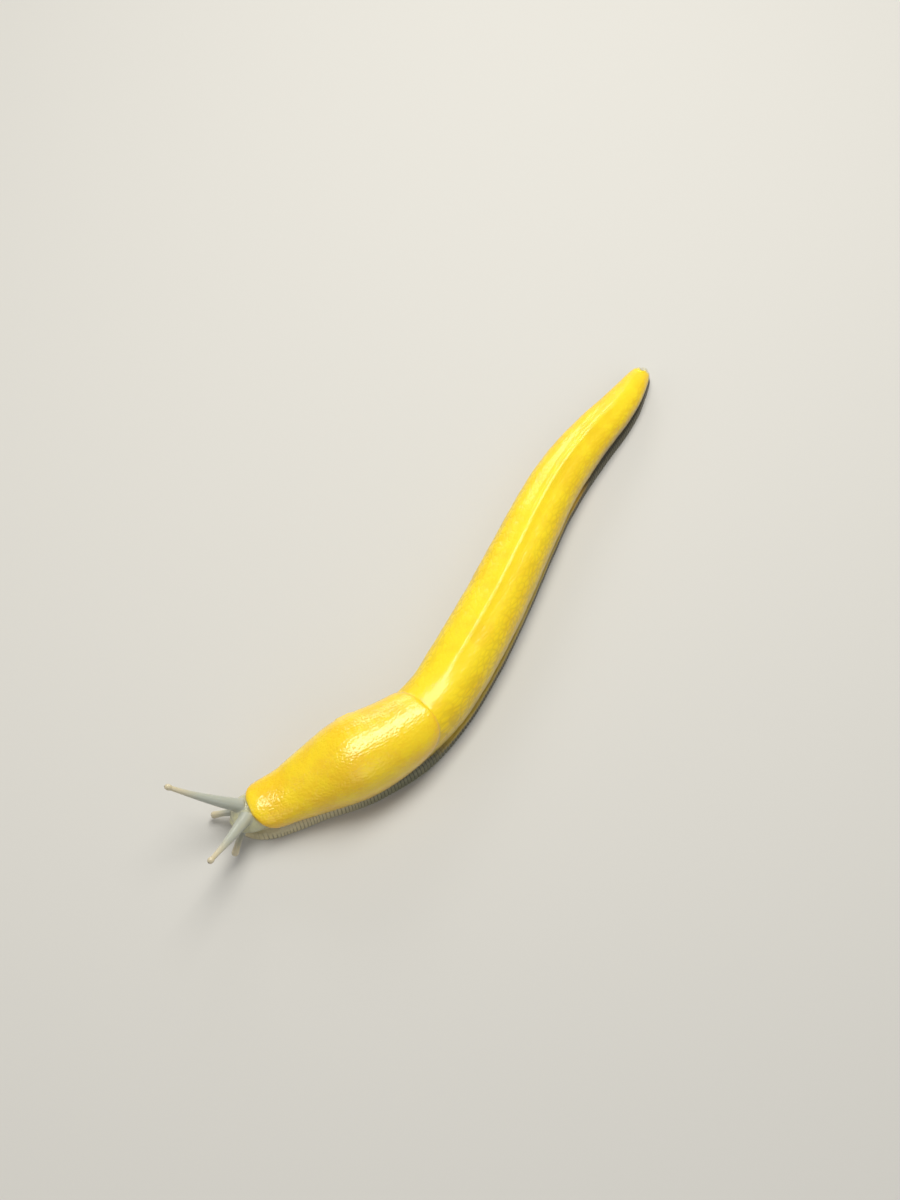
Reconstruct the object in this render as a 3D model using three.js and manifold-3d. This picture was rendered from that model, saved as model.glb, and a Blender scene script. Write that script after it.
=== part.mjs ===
// A life-size banana slug, crawling with its horns out, as a still museum model.
// Millimetres, +Z up. The slug faces +X and lies on its foot at z = 0.
//
// It is shaped straight first, by stations: s is the distance back from the snout along the
// middle of the foot, y is to the slug's left and z is up. bend() then lays it in its pose.
import * as THREE from "three";
import Module from "manifold-3d";
import { mergeVertices } from "three/addons/utils/BufferGeometryUtils.js";

const wasm = await Module();
wasm.setup();

// Driving sizes
const LENGTH = 190; // snout to tail tip, along the body
const GAP = 0.3; // clearance between neighbouring pieces
const SOLE = 1.7; // thickness of the sole
const HEAD_BACK = 8; // where the head ends and the neck starts
const TAIL_SEAM = 185.5; // where the tail's back ends at the mucous pore
const BACK_END = 188.4; // the pore's own end, inside the fringe
const SOLE_START = 0.9; // the foot starts just behind the lips
const SOLE_END = 188;

// Pose: the heading at the head, and how far each bend of the body turns it, going back
const SNOUT = new THREE.Vector2(84.2, -7.1);
const HEAD_HEADING = -27;
const BENDS = [
  { at: 12, over: 18, turn: 4.5 },
  { at: 53.2, over: 42, turn: 34 },
  { at: 88, over: 34, turn: 4 },
  { at: 142, over: 46, turn: -14 },
  { at: 176, over: 22, turn: 12 },
];

// Outlines of the body, as [station, size] stops that a smooth curve joins
const bodyHalf = profile([[0, 4.0], [8, 5.0], [20, 6.9], [34, 8.9], [48, 9.0], [62, 8.8],
  [74, 8.9], [95, 8.5], [120, 7.8], [146, 6.9], [166, 5.7], [180, 4.1], [187, 2.7], [190, 1.2]]);
const bodyTop = profile([[0, 7.6], [8, 8.4], [20, 12.0], [34, 15.4], [48, 15.6], [62, 15.4],
  [74, 15.7], [95, 14.7], [120, 13.5], [146, 12.1], [166, 10.1], [180, 7.5], [187, 5.0], [190, 3.4]]);
const fringeReach = profile([[0, 3.1], [8, 3.0], [14, 2.6], [22, 1.95], [46, 1.8], [62, 1.1],
  [125, 1.05], [148, 1.5], [165, 1.6], [190, 1.0]]);
const fringeTop = profile([[0, 2.9], [20, 3.6], [90, 3.5], [150, 3.1], [190, 2.4]]);
const keelHeight = profile([[62, 0], [76, 0.6], [130, 0.8], [165, 0.6], [186, 0]]);
const FLANK_INSET = 1.1; // the flank hangs this far over the groove above the foot
const WIDEST = 0.4; // height of the widest line, as a share of the flank
const BOW = { side: 0.96, top: 0.92 }; // below 1, the section's corners are fuller than a circle's
const KEEL_WIDTH = 1.5;
const FOOT_ROUND = { front: 9, back: 3.5 }; // lengths over which the foot's ends round off

// The mantle, a thick smooth saddle over the front third
const MANTLE = { front: 4.2, back: 55, edge: 0.93, squareness: 2.5, hump: 1.5 };
const mantleLip = profile([[4.2, 1.15], [38, 1.15], [55, 0.6]]); // its edge thins towards the back
const RIM = { side: 8, end: 16 }; // how late the thickness rounds off towards the edges
const HUMP = { middle: 0.15, spread: 0.55 }; // along the mantle, from -1 at its front to 1 at its back
const HOOD = { lift: 1.2, length: 12 }; // its free front edge stands off the neck
// The breathing hole and its rim, on the right side of the mantle
const PORE = { station: 36, side: 0.5, radius: 2.1, tube: 0.5, squeeze: 0.75, sunk: 0.25, bore: 12 };

// The foot's fringe: upright folds all the way round
const FOLD_PITCH = 2.4;
const FOLD_DEPTH = 0.34;
const FRINGE = { end: 0.42, hem: 0.25, lean: 0.86, waist: 0.6, crest: 0.2, frontTop: 1.5, rise: 12 };

// The two pairs of horns. Directions: out is away from the middle line, up is above level.
const STALK = { length: 21, root: 1.85, neck: 0.64, bulb: 1.05, seam: 0.42, sides: 12 };
const BULB_SPAN = 2.5; // length of the bulb, in its own radii
const STALKS = {
  left: { side: 1, out: 43, up: 32, curl: -3 },
  right: { side: -1, out: 26.5, up: 30, curl: 6 },
};
const STALK_ROOT = { station: 2.9, out: 1.7, height: 7.9 };
const FEELER = { root: 1.2, shaft: 0.85, knob: 0.95, sides: 10 };
const FEELERS = {
  left: { side: 1, out: 55, up: 6, length: 7.5 },
  right: { side: -1, out: 22, up: -20, length: 6.6 },
};
const FEELER_ROOT = { station: 0.8, out: 2.8, height: 3.9 };

const LIP_SIDE = { station: 0.3, z: 3.0, size: [1.4, 0.95, 1.0] };
const LIPS = [
  { name: "lip_upper", station: 0, y: 0, z: 4.3, size: [1.5, 1.9, 0.8] },
  { name: "lip_left", y: 1.35, ...LIP_SIDE },
  { name: "lip_right", y: -1.35, ...LIP_SIDE },
];

// The head: a blunt rounded snout, wider than high
const HEAD = { front: -0.8, nose: 5.2, half: 5.3, middle: 5.6, above: 3.6, below: 3.4, droop: 0.5,
  squareness: 0.88, bluntness: 0.85, sides: 22 };

// Lengths that the body is parted into, each from one station to the next
const BACK_CUTS = { neck: 8, torso_front: 20, torso_rear: 42, back_front: 64, back_middle: 94,
  back_rear: 124, tail: 154, end: TAIL_SEAM };
const FOOT_CUTS = [SOLE_START, 20, 42, 64, 94, 124, 154, LENGTH];

// How finely each piece is faceted
const SHOULDER = 0.64; // how far down the flank's points the widest line comes, from 0 to 1
const FLANK_SIDES = 12;
const KEEL_CROWDING = 1.12; // above 1, the flank's points lie closer together at the keel
const BACK_PITCH = 3;
const SOLE_PITCH = 3;
const MANTLE_SIDES = 18;
const MANTLE_RINGS = 27;
const SHORT_OF_END = 0.9985; // the last ring of a round end isn't quite a point
const KNOB_START = 0.86; // share of a feeler where its round end starts

const SKIN = { roughness: 0.3, metalness: 0 };
const MATERIALS = {
  yellow: new THREE.MeshStandardMaterial({ color: 0xe3b70a, ...SKIN }),
  mantle: new THREE.MeshStandardMaterial({ color: 0xe0a80a, ...SKIN }),
  head: new THREE.MeshStandardMaterial({ color: 0xa7a88a, ...SKIN }),
  fringe: new THREE.MeshStandardMaterial({ color: 0xb9b184, ...SKIN }),
  sole: new THREE.MeshStandardMaterial({ color: 0xcfc6a4, ...SKIN }),
  stalk: new THREE.MeshStandardMaterial({ color: 0x9fa99c, ...SKIN }),
  eye: new THREE.MeshStandardMaterial({ color: 0xb59f7c, ...SKIN }),
  pore: new THREE.MeshStandardMaterial({ color: 0xc2ba9c, ...SKIN }),
};

const rad = THREE.MathUtils.degToRad;
const smooth = (x) => THREE.MathUtils.smoothstep(x, 0, 1);

// A smooth curve through stops, with no overshoot between them
function profile(stops) {
  const slope = (i) => (stops[i + 1][1] - stops[i][1]) / (stops[i + 1][0] - stops[i][0]);
  const tangents = stops.map((stop, i) => {
    const before = slope(Math.max(i - 1, 0));
    const after = slope(Math.min(i, stops.length - 2));
    return before * after <= 0 ? 0 : (2 * before * after) / (before + after);
  });
  return (s) => {
    const later = stops.slice(1, -1).findIndex((stop) => stop[0] > s);
    const i = later < 0 ? stops.length - 2 : later;
    const [s0, v0] = stops[i];
    const [s1, v1] = stops[i + 1];
    const span = s1 - s0;
    const t = THREE.MathUtils.clamp((s - s0) / span, 0, 1);
    const t2 = t * t;
    const t3 = t2 * t;
    return (2 * t3 - 3 * t2 + 1) * v0 + (t3 - 2 * t2 + t) * span * tangents[i]
      + (3 * t2 - 2 * t3) * v1 + (t3 - t2) * span * tangents[i + 1];
  };
}

// Heading of the body at a station, in radians from +X
function heading(s) {
  const turned = BENDS.reduce((sum, b) => sum + b.turn * smooth((s - b.at) / b.over + 0.5), 0);
  return rad(HEAD_HEADING + turned);
}

// The middle line of the foot, walked back from the snout in short steps
const STEP = 0.25;
const middleLine = [SNOUT.clone()];
for (let s = STEP / 2; s < LENGTH + 2; s += STEP) {
  const from = middleLine[middleLine.length - 1];
  const way = heading(s);
  middleLine.push(new THREE.Vector2(from.x - STEP * Math.cos(way), from.y - STEP * Math.sin(way)));
}

function middle(s) {
  if (s <= 0) {
    return new THREE.Vector2(SNOUT.x - s * Math.cos(heading(0)), SNOUT.y - s * Math.sin(heading(0)));
  }
  const at = Math.min(s / STEP, middleLine.length - 1.001);
  const i = Math.floor(at);
  return middleLine[i].clone().lerp(middleLine[i + 1], at - i);
}

// A point of the straight slug, laid in the pose
function bend([s, y, z]) {
  const at = middle(s);
  const turn = heading(Math.max(s, 0));
  return new THREE.Vector3(at.x - y * Math.sin(turn), at.y + y * Math.cos(turn), z);
}

// A closed skin over rings of points, with a fan over each end
function loft(rings) {
  const n = rings[0].length;
  const points = rings.flat().map((p) => bend(p));
  const triangles = [];
  for (let i = 0; i + 1 < rings.length; i++) {
    for (let j = 0; j < n; j++) {
      const a = i * n + j;
      const b = i * n + ((j + 1) % n);
      triangles.push(a, b, b + n, a, b + n, a + n);
    }
  }
  for (const [start, flip] of [[0, false], [(rings.length - 1) * n, true]]) {
    const hub = points.length;
    const ring = points.slice(start, start + n);
    points.push(ring.reduce((sum, p) => sum.add(p), new THREE.Vector3()).divideScalar(n));
    for (let j = 0; j < n; j++) {
      const a = start + j;
      const b = start + ((j + 1) % n);
      triangles.push(...(flip ? [hub, a, b] : [hub, b, a]));
    }
  }
  const geometry = new THREE.BufferGeometry().setFromPoints(points);
  geometry.setIndex(triangles);
  return facingOut(geometry);
}

// The same faces, turned round if they enclose a negative volume
function facingOut(geometry) {
  const p = geometry.getAttribute("position");
  const index = geometry.index.array;
  const corner = (i) => new THREE.Vector3().fromBufferAttribute(p, index[i]);
  let volume = 0;
  for (let i = 0; i < index.length; i += 3) {
    volume += corner(i).dot(corner(i + 1).cross(corner(i + 2)));
  }
  if (volume < 0) {
    for (let i = 0; i < index.length; i += 3) {
      [index[i + 1], index[i + 2]] = [index[i + 2], index[i + 1]];
    }
  }
  return geometry;
}

// Boolean cuts and joins
function solid(geometry) {
  const bare = new THREE.BufferGeometry().setAttribute("position", geometry.getAttribute("position"));
  bare.setIndex(geometry.index);
  const merged = mergeVertices(bare, 1e-4);
  return new wasm.Manifold(new wasm.Mesh({
    numProp: 3,
    vertProperties: new Float32Array(merged.attributes.position.array),
    triVerts: new Uint32Array(merged.index.array),
  }));
}

function largest(body) {
  const pieces = body.decompose().sort((a, b) => b.volume() - a.volume());
  const mesh = pieces[0].getMesh();
  const geometry = new THREE.BufferGeometry();
  geometry.setAttribute("position", new THREE.BufferAttribute(new Float32Array(mesh.vertProperties), 3));
  geometry.setIndex(new THREE.BufferAttribute(new Uint32Array(mesh.triVerts), 1));
  return geometry;
}

const cut = (geometry, ...cutters) =>
  largest(cutters.reduce((left, cutter) => left.subtract(solid(cutter)), solid(geometry)));

// Stations from one end of a length to the other, about pitch apart
function stations(from, to, pitch) {
  const count = Math.max(1, Math.round((to - from) / pitch));
  return Array.from({ length: count + 1 }, (_, i) => from + ((to - from) * i) / count);
}

// How far the flank overhangs the groove above the foot, less where the body is narrow
const overhang = (s) => FLANK_INSET * Math.min(1, bodyHalf(s) / 4);

// Half width of the sole, which is also where the groove above the foot lies
const soleHalf = (s) => (bodyHalf(s) - overhang(s)) * footRound(s);

// The foot ends round at the front and back
function footRound(s) {
  const front = THREE.MathUtils.clamp((s - SOLE_START + GAP) / FOOT_ROUND.front, 0, 1);
  const back = THREE.MathUtils.clamp((LENGTH + GAP - s) / FOOT_ROUND.back, 0, 1);
  return Math.sqrt(1 - (1 - front) ** 2) * Math.sqrt(1 - (1 - back) ** 2);
}

// One side of the body's section, from the keel (a = 0) down to the groove (a = 1 or -1)
function flank(s, a) {
  const side = Math.sign(a) || 1;
  const down = Math.abs(a);
  const half = bodyHalf(s);
  const top = bodyTop(s);
  const groove = fringeTop(s);
  const widest = groove + WIDEST * (top - groove);
  if (down > SHOULDER) {
    const turn = ((down - SHOULDER) / (1 - SHOULDER)) * Math.PI * 0.5;
    return [side * (half - overhang(s) * (1 - Math.cos(turn))), widest - (widest - groove) * Math.sin(turn)];
  }
  const turn = (down / SHOULDER) * Math.PI * 0.5;
  const y = half * Math.sin(turn) ** BOW.side;
  const keel = s < MANTLE.back ? 0 : keelHeight(s) * Math.exp(-((y / KEEL_WIDTH) ** 2));
  return [side * y, widest + (top - widest) * Math.cos(turn) ** BOW.top + keel];
}

// The same point moved out from the surface, within the section
function offFlank(s, a, out) {
  const small = 0.01;
  const [y0, z0] = flank(s, a - small);
  const [y1, z1] = flank(s, a + small);
  const size = Math.hypot(y1 - y0, z1 - z0);
  const [y, z] = flank(s, a);
  return [s, y - (out * (z1 - z0)) / size, z + (out * (y1 - y0)) / size];
}

// A length of the back: the flanks over a flat underside that rests on the sole
function backRing(s) {
  const ring = [];
  for (let j = -FLANK_SIDES; j <= FLANK_SIDES; j++) {
    const share = Math.abs(j) / FLANK_SIDES;
    ring.push([s, ...flank(s, Math.sign(j) * share ** KEEL_CROWDING)]);
  }
  const wall = flank(s, 1)[0];
  ring.push([s, wall, SOLE + GAP], [s, -wall, SOLE + GAP]);
  return ring;
}

function backLength(from, to, pitch = BACK_PITCH) {
  return loft(stations(from, to, pitch).map(backRing));
}

// A ring of the head; grow makes the same shape larger all over, to cut room for the head
function headRing(reach, grow) {
  const s = THREE.MathUtils.lerp(HEAD.front, HEAD.nose, reach);
  const nose = Math.min(reach, 1);
  const round = Math.sqrt(1 - (1 - nose) ** 2) ** HEAD.bluntness;
  const square = (v) => Math.sign(v) * Math.abs(v) ** HEAD.squareness;
  const ring = [];
  for (let j = 0; j < HEAD.sides; j++) {
    const turn = (2 * Math.PI * j) / HEAD.sides;
    const up = Math.sin(turn);
    const y = (HEAD.half * round + grow) * square(Math.cos(turn));
    const z = ((up > 0 ? HEAD.above : HEAD.below) * round + grow) * square(up);
    ring.push([s - grow * (1 - nose), y, HEAD.middle - HEAD.droop * (1 - nose) + z]);
  }
  return ring;
}

function headSkin(grow = 0) {
  const back = (HEAD_BACK - GAP / 2 - HEAD.front) / (HEAD.nose - HEAD.front);
  const reaches = [0.02, 0.08, 0.2, 0.35, 0.52, 0.75, 1, (1 + back) / 2, back];
  return loft(reaches.map((reach) => headRing(reach, grow)));
}

// The mantle, laid on the flanks as one thick skin with a rounded edge
function mantleEdge(s) {
  const along = (2 * (s - MANTLE.front)) / (MANTLE.back - MANTLE.front) - 1;
  return MANTLE.edge * Math.max(1 - Math.abs(along) ** MANTLE.squareness, 0) ** (1 / MANTLE.squareness);
}

function mantleThickness(s, across) {
  const along = (2 * (s - MANTLE.front)) / (MANTLE.back - MANTLE.front) - 1;
  const hump = MANTLE.hump * Math.exp(-(((along - HUMP.middle) / HUMP.spread) ** 2)) * (1 - across ** 2);
  const sides = Math.max(1 - Math.abs(across) ** RIM.side, 0);
  const ends = Math.max(1 - Math.abs(along) ** RIM.end, 0);
  return (mantleLip(s) + hump) * Math.sqrt(sides * ends);
}

function mantleRing(s) {
  const edge = mantleEdge(s);
  const lift = GAP + HOOD.lift * (1 - smooth((s - MANTLE.front) / HOOD.length));
  const outer = [];
  const inner = [];
  for (let j = 0; j <= MANTLE_SIDES; j++) {
    const across = Math.sin((j / MANTLE_SIDES - 0.5) * Math.PI);
    outer.push(offFlank(s, across * edge, lift + mantleThickness(s, across)));
    if (j > 0 && j < MANTLE_SIDES) {
      inner.unshift(offFlank(s, across * edge, lift));
    }
  }
  return [...outer, ...inner];
}

function mantleSkin() {
  const rings = [];
  const center = (MANTLE.front + MANTLE.back) / 2;
  const halfLength = (MANTLE.back - MANTLE.front) / 2;
  for (let i = 0; i <= MANTLE_RINGS; i++) {
    const along = Math.sin((i / MANTLE_RINGS - 0.5) * Math.PI) * SHORT_OF_END;
    rings.push(mantleRing(center + along * halfLength));
  }
  return loft(rings);
}

// The foot: a flat sole between two fringes of upright folds
function soleRing(s) {
  const half = soleHalf(s);
  return [[s, -half, SOLE], [s, 0, SOLE], [s, half, SOLE], [s, half, 0], [s, -half, 0]];
}

// The fringe leans in from its foot to a rounded top under the flank
function fringeRing(s, side) {
  const wall = soleHalf(s) + GAP;
  const phase = Math.abs(((s / FOLD_PITCH) % 1) - 0.5) * 2;
  const reach = fringeReach(s) * THREE.MathUtils.lerp(FRINGE.end, 1, footRound(s)) - FOLD_DEPTH * phase;
  const risen = smooth((s - SOLE_START) / FRINGE.rise);
  const top = THREE.MathUtils.lerp(FRINGE.frontTop, fringeTop(s) - GAP, risen);
  const section = [[0, 0], [reach - FRINGE.hem, 0], [reach, 2 * FRINGE.hem],
    [reach * FRINGE.lean, top * FRINGE.waist], [reach * FRINGE.crest, top], [0, top]];
  return section.map(([out, z]) => [s, side * (wall + out), z]);
}

function fringeLength(from, to, side) {
  return loft(stations(from, to, FOLD_PITCH / 2).map((s) => fringeRing(s, side)));
}

// A horn: a tapering tube along a gently curled line, in the head's own directions
function hornLine(root, horn, length) {
  const out = rad(horn.out);
  const up = rad(horn.up);
  const curl = rad(horn.curl ?? 0);
  const start = new THREE.Vector3(-root.station, horn.side * root.out, root.height);
  const way = (turn) => new THREE.Vector3(
    Math.cos(up) * Math.cos(out + turn), horn.side * Math.cos(up) * Math.sin(out + turn), Math.sin(up));
  const elbow = start.clone().addScaledVector(way(-curl), length / 2);
  const tip = elbow.clone().addScaledVector(way(curl), length / 2);
  return new THREE.QuadraticBezierCurve3(start, elbow, tip);
}

function hornSkin(line, radius, from, to, count, sides) {
  const rings = [];
  for (let i = 0; i <= count; i++) {
    const t = from + ((to - from) * i) / count;
    const at = line.getPoint(t);
    const way = line.getTangent(t);
    const across = new THREE.Vector3(0, 0, 1).cross(way).normalize();
    const over = way.clone().cross(across);
    rings.push(Array.from({ length: sides }, (_, j) => {
      const turn = (2 * Math.PI * j) / sides;
      const p = at.clone().addScaledVector(across, radius(t) * Math.cos(turn))
        .addScaledVector(over, radius(t) * Math.sin(turn));
      return [-p.x, p.y, p.z];
    }));
  }
  return loft(rings);
}

// An eye stalk is a long cone that narrows most along its middle
function stalkRadius(t) {
  return THREE.MathUtils.lerp(STALK.root, STALK.neck, (Math.sin((t * Math.PI) / 2) + smooth(t)) / 2);
}

// The bulb at the tip of an eye stalk: a ball drawn out along the stalk
function bulbRadius(from) {
  return (t) => {
    const along = THREE.MathUtils.clamp((2 * (t - from)) / (1 - from) - 1, -0.97, 0.985);
    return STALK.bulb * Math.sqrt(1 - along ** 2) ** HEAD.bluntness;
  };
}

// A feeler narrows, swells to a knob and ends round
function feelerRadius(t) {
  const swell = (FEELER.knob - FEELER.shaft) * smooth((t - 0.6) / 0.25);
  const past = Math.max((t - KNOB_START) / (1 - KNOB_START), 0) * SHORT_OF_END;
  return (THREE.MathUtils.lerp(FEELER.root, FEELER.shaft, smooth(2 * t)) + swell) * Math.sqrt(1 - past ** 2);
}

// Assembly
const slug = new THREE.Group();

// Adds a piece, with its own origin on the middle line at a station and turned to the heading there
function add(name, geometry, material, station) {
  const at = middle(station);
  const turn = heading(Math.max(station, 0));
  const mesh = new THREE.Mesh(geometry.translate(-at.x, -at.y, 0).rotateZ(-turn), material);
  mesh.name = name;
  mesh.position.set(at.x, at.y, 0);
  mesh.rotation.z = turn;
  slug.add(mesh);
}

function addBack() {
  const names = Object.keys(BACK_CUTS);
  for (let i = 0; i + 1 < names.length; i++) {
    const from = BACK_CUTS[names[i]] + GAP / 2;
    const to = BACK_CUTS[names[i + 1]] - GAP / 2;
    const material = names[i] === "neck" ? MATERIALS.head : MATERIALS.yellow;
    add(names[i], backLength(from, to), material, (from + to) / 2);
  }
  add("tail_pore", backLength(TAIL_SEAM + GAP / 2, BACK_END, 0.8), MATERIALS.pore, TAIL_SEAM);
}

function addHead() {
  const head = headSkin();
  const room = headSkin(GAP);
  const lipRoom = [];
  for (const lip of LIPS) {
    add(lip.name, cut(lipBall(lip, 0), room, ...lipRoom), MATERIALS.head, lip.station);
    lipRoom.push(lipBall(lip, GAP));
  }
  for (const [side, horn] of Object.entries(STALKS)) {
    const line = hornLine(STALK_ROOT, horn, STALK.length);
    const bulbStart = 1 - (BULB_SPAN * STALK.bulb) / STALK.length;
    const gap = GAP / STALK.length;
    const root = hornSkin(line, stalkRadius, 0, STALK.seam - gap / 2, 9, STALK.sides);
    const tip = hornSkin(line, stalkRadius, STALK.seam + gap / 2, bulbStart - gap, 8, STALK.sides);
    add(`stalk_${side}_root`, cut(root, room), MATERIALS.stalk, 0);
    add(`stalk_${side}_tip`, tip, MATERIALS.stalk, 0);
    const bulb = hornSkin(line, bulbRadius(bulbStart), bulbStart, 1, 8, STALK.sides);
    add(`eye_${side}`, bulb, MATERIALS.eye, 0);
    const feelerLine = hornLine(FEELER_ROOT, FEELERS[side], FEELERS[side].length);
    const feeler = hornSkin(feelerLine, feelerRadius, 0, 1, 11, FEELER.sides);
    add(`feeler_${side}`, cut(feeler, room, ...lipRoom), MATERIALS.stalk, 0);
  }
  add("head", head, MATERIALS.head, HEAD_BACK / 2);
}

function lipBall(lip, grow) {
  return bent(new THREE.SphereGeometry(1, 12, 8)
    .scale(...lip.size.map((v) => v + grow))
    .translate(-lip.station, lip.y, lip.z));
}

// A geometry of the straight slug, given with +X forward, laid in the pose
function bent(geometry) {
  const p = mergeVertices(new THREE.BufferGeometry()
    .setAttribute("position", geometry.getAttribute("position")).setIndex(geometry.index), 1e-4);
  const position = p.getAttribute("position");
  for (let i = 0; i < position.count; i++) {
    const to = bend([-position.getX(i), position.getY(i), position.getZ(i)]);
    position.setXYZ(i, to.x, to.y, to.z);
  }
  return facingOut(p);
}

function addMantle() {
  const thickness = mantleThickness(PORE.station, PORE.side / MANTLE.edge);
  const [s, y, z] = offFlank(PORE.station, -PORE.side, GAP + thickness);
  const [, innerY, innerZ] = offFlank(PORE.station, -PORE.side, 0);
  const way = new THREE.Vector3(0, y - innerY, z - innerZ).normalize();
  const face = new THREE.Quaternion().setFromUnitVectors(new THREE.Vector3(0, 0, 1), way);
  const at = new THREE.Vector3(-s, y, z).addScaledVector(way, -PORE.sunk);
  const room = PORE.tube + GAP;
  const hole = new THREE.CylinderGeometry(1, 1, PORE.bore, 20).rotateX(Math.PI / 2)
    .scale(PORE.radius + room, PORE.radius * PORE.squeeze + room, 1)
    .applyQuaternion(face).translate(at.x, at.y, at.z);
  const rim = new THREE.TorusGeometry(PORE.radius, PORE.tube, 8, 20)
    .scale(1, PORE.squeeze, 1).applyQuaternion(face).translate(at.x, at.y, at.z);
  add("mantle", cut(mantleSkin(), bent(hole), headSkin(GAP)), MATERIALS.mantle, PORE.station);
  add("breathing_pore_rim", bent(rim), MATERIALS.mantle, PORE.station);
}

function addFoot() {
  for (let i = 0; i + 1 < FOOT_CUTS.length; i++) {
    const from = FOOT_CUTS[i] + (i ? GAP / 2 : 0);
    const to = FOOT_CUTS[i + 1] - (i + 2 < FOOT_CUTS.length ? GAP / 2 : 0);
    const at = (from + to) / 2;
    add(`sole_${i + 1}`, loft(stations(from, Math.min(to, SOLE_END), SOLE_PITCH).map(soleRing)),
      MATERIALS.sole, at);
    for (const [side, sign] of [["left", 1], ["right", -1]]) {
      const fringe = fringeLength(from, to, sign);
      add(`fringe_${side}_${i + 1}`, i ? fringe : cut(fringe, headSkin(GAP)), MATERIALS.fringe, at);
    }
  }
}

addHead();
addBack();
addMantle();
addFoot();

export default slug;
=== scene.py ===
"""A life-size banana slug, crawling with its horns out, as a still museum model.

The skin is shaped straight first, in millimetres: a station is the distance back from the snout
along the middle of the foot, y is to the slug's left and z is up. Its points are then laid along
the bent middle line of the pose and turned to metres, in the frame of the solids.
"""

import math

import bpy
import numpy as np
from bpy.props import FloatProperty, FloatVectorProperty, PointerProperty
from mathutils import Matrix, Vector, noise
from mathutils.kdtree import KDTree


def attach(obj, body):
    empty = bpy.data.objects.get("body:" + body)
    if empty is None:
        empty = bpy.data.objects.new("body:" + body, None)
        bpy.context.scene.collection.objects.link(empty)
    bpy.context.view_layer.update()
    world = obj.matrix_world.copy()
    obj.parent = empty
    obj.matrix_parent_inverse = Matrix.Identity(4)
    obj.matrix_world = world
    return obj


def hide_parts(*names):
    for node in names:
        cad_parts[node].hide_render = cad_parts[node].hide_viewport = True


bl_info = {
    "name": "Banana slug",
    "version": (1, 0, 0),
    "blender": (4, 5, 0),
    "location": "View3D > Sidebar > Slug",
    "description": "A life-size banana slug with its wet skin, eyes and studio stage",
    "category": "Add Mesh",
}

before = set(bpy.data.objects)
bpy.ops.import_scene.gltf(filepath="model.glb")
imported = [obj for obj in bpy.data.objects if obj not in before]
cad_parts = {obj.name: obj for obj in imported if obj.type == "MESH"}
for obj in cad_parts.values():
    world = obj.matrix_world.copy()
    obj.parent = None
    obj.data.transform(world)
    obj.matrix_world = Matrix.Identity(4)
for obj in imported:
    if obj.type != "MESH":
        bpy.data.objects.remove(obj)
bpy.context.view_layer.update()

MM = 0.001


def linear(text):
    """An sRGB hex colour as linear red, green and blue."""
    shares = [int(text[i:i + 2], 16) / 255 for i in (1, 3, 5)]
    return tuple(v / 12.92 if v <= 0.04045 else ((v + 0.055) / 1.055) ** 2.4 for v in shares)


def profile(stops):
    """A smooth curve through [station, size] stops, with no overshoot between them."""
    at, size = np.array(stops, float).T
    slope = np.diff(size) / np.diff(at)
    before = np.append(slope[0], slope)
    after = np.append(slope, slope[-1])
    level = before * after <= 0
    tangent = np.where(level, 0, 2 * before * after / np.where(level, 1, before + after))

    def curve(s):
        s = np.clip(s, at[0], at[-1])
        i = np.clip(np.searchsorted(at, s, side="right") - 1, 0, len(at) - 2)
        span = at[i + 1] - at[i]
        t = (s - at[i]) / span
        return (
            (2 * t**3 - 3 * t**2 + 1) * size[i]
            + (t**3 - 2 * t**2 + t) * span * tangent[i]
            + (3 * t**2 - 2 * t**3) * size[i + 1]
            + (t**3 - t**2) * span * tangent[i + 1]
        )

    return curve


def smooth(x):
    """A soft step from 0 to 1."""
    t = np.clip(x, 0, 1)
    return t * t * (3 - 2 * t)


def lerp(a, b, t):
    return a + (b - a) * t


def step(values, name):
    """A soft step from 0 to 1 over the values, as named among the steps."""
    start, length = STEPS[name]
    return smooth((values - start) / length)


# Sizes of the straight slug, in millimetres, as in the solids
LENGTH = 190
GAP = 0.3
SOLE_START = 0.9
BACK_END = 188.4
SNOUT = (84.2, -7.1)
HEAD_HEADING = -27
BENDS = [(12, 18, 4.5), (53.2, 42, 34), (88, 34, 4), (142, 46, -14), (176, 22, 12)]
body_half = profile([[0, 4.0], [8, 5.0], [20, 6.9], [34, 8.9], [48, 9.0], [62, 8.8], [74, 8.9],
                     [95, 8.5], [120, 7.8], [146, 6.9], [166, 5.7], [180, 4.1], [187, 2.7], [190, 1.2]])
body_top = profile([[0, 7.6], [8, 8.4], [20, 12.0], [34, 15.4], [48, 15.6], [62, 15.4], [74, 15.7],
                    [95, 14.7], [120, 13.5], [146, 12.1], [166, 10.1], [180, 7.5], [187, 5.0], [190, 3.4]])
fringe_reach = profile([[0, 3.1], [8, 3.0], [14, 2.6], [22, 1.95], [46, 1.8], [62, 1.1],
                        [125, 1.05], [148, 1.5], [165, 1.6], [190, 1.0]])
fringe_top = profile([[0, 2.9], [20, 3.6], [90, 3.5], [150, 3.1], [190, 2.4]])
keel_height = profile([[62, 0], [76, 0.6], [130, 0.8], [165, 0.6], [186, 0]])
FLANK_INSET = 1.1
WIDEST = 0.4
SHOULDER = 0.64
KEEL_WIDTH = 1.5
FOOT_ROUND = {"front": 9, "back": 3.5}
FRINGE = {"end": 0.42, "hem": 0.25, "lean": 0.86, "crest": 0.2, "front_top": 1.5, "rise": 12}
MANTLE = {"front": 4.2, "back": 55, "edge": 0.93, "squareness": 2.5, "sunk": 0.9,
          "reach": 0.9985}
mantle_lip = profile([[4.2, 1.15], [38, 1.15], [55, 0.6]])
HUMP = {"height": 1.5, "middle": 0.15, "spread": 0.55}
RIM_POWER = {"front_side": 8, "rear_side": 3, "front_end": 16, "rear_end": 8}
HOOD = {"lift": 1.2, "length": 12}
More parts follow.
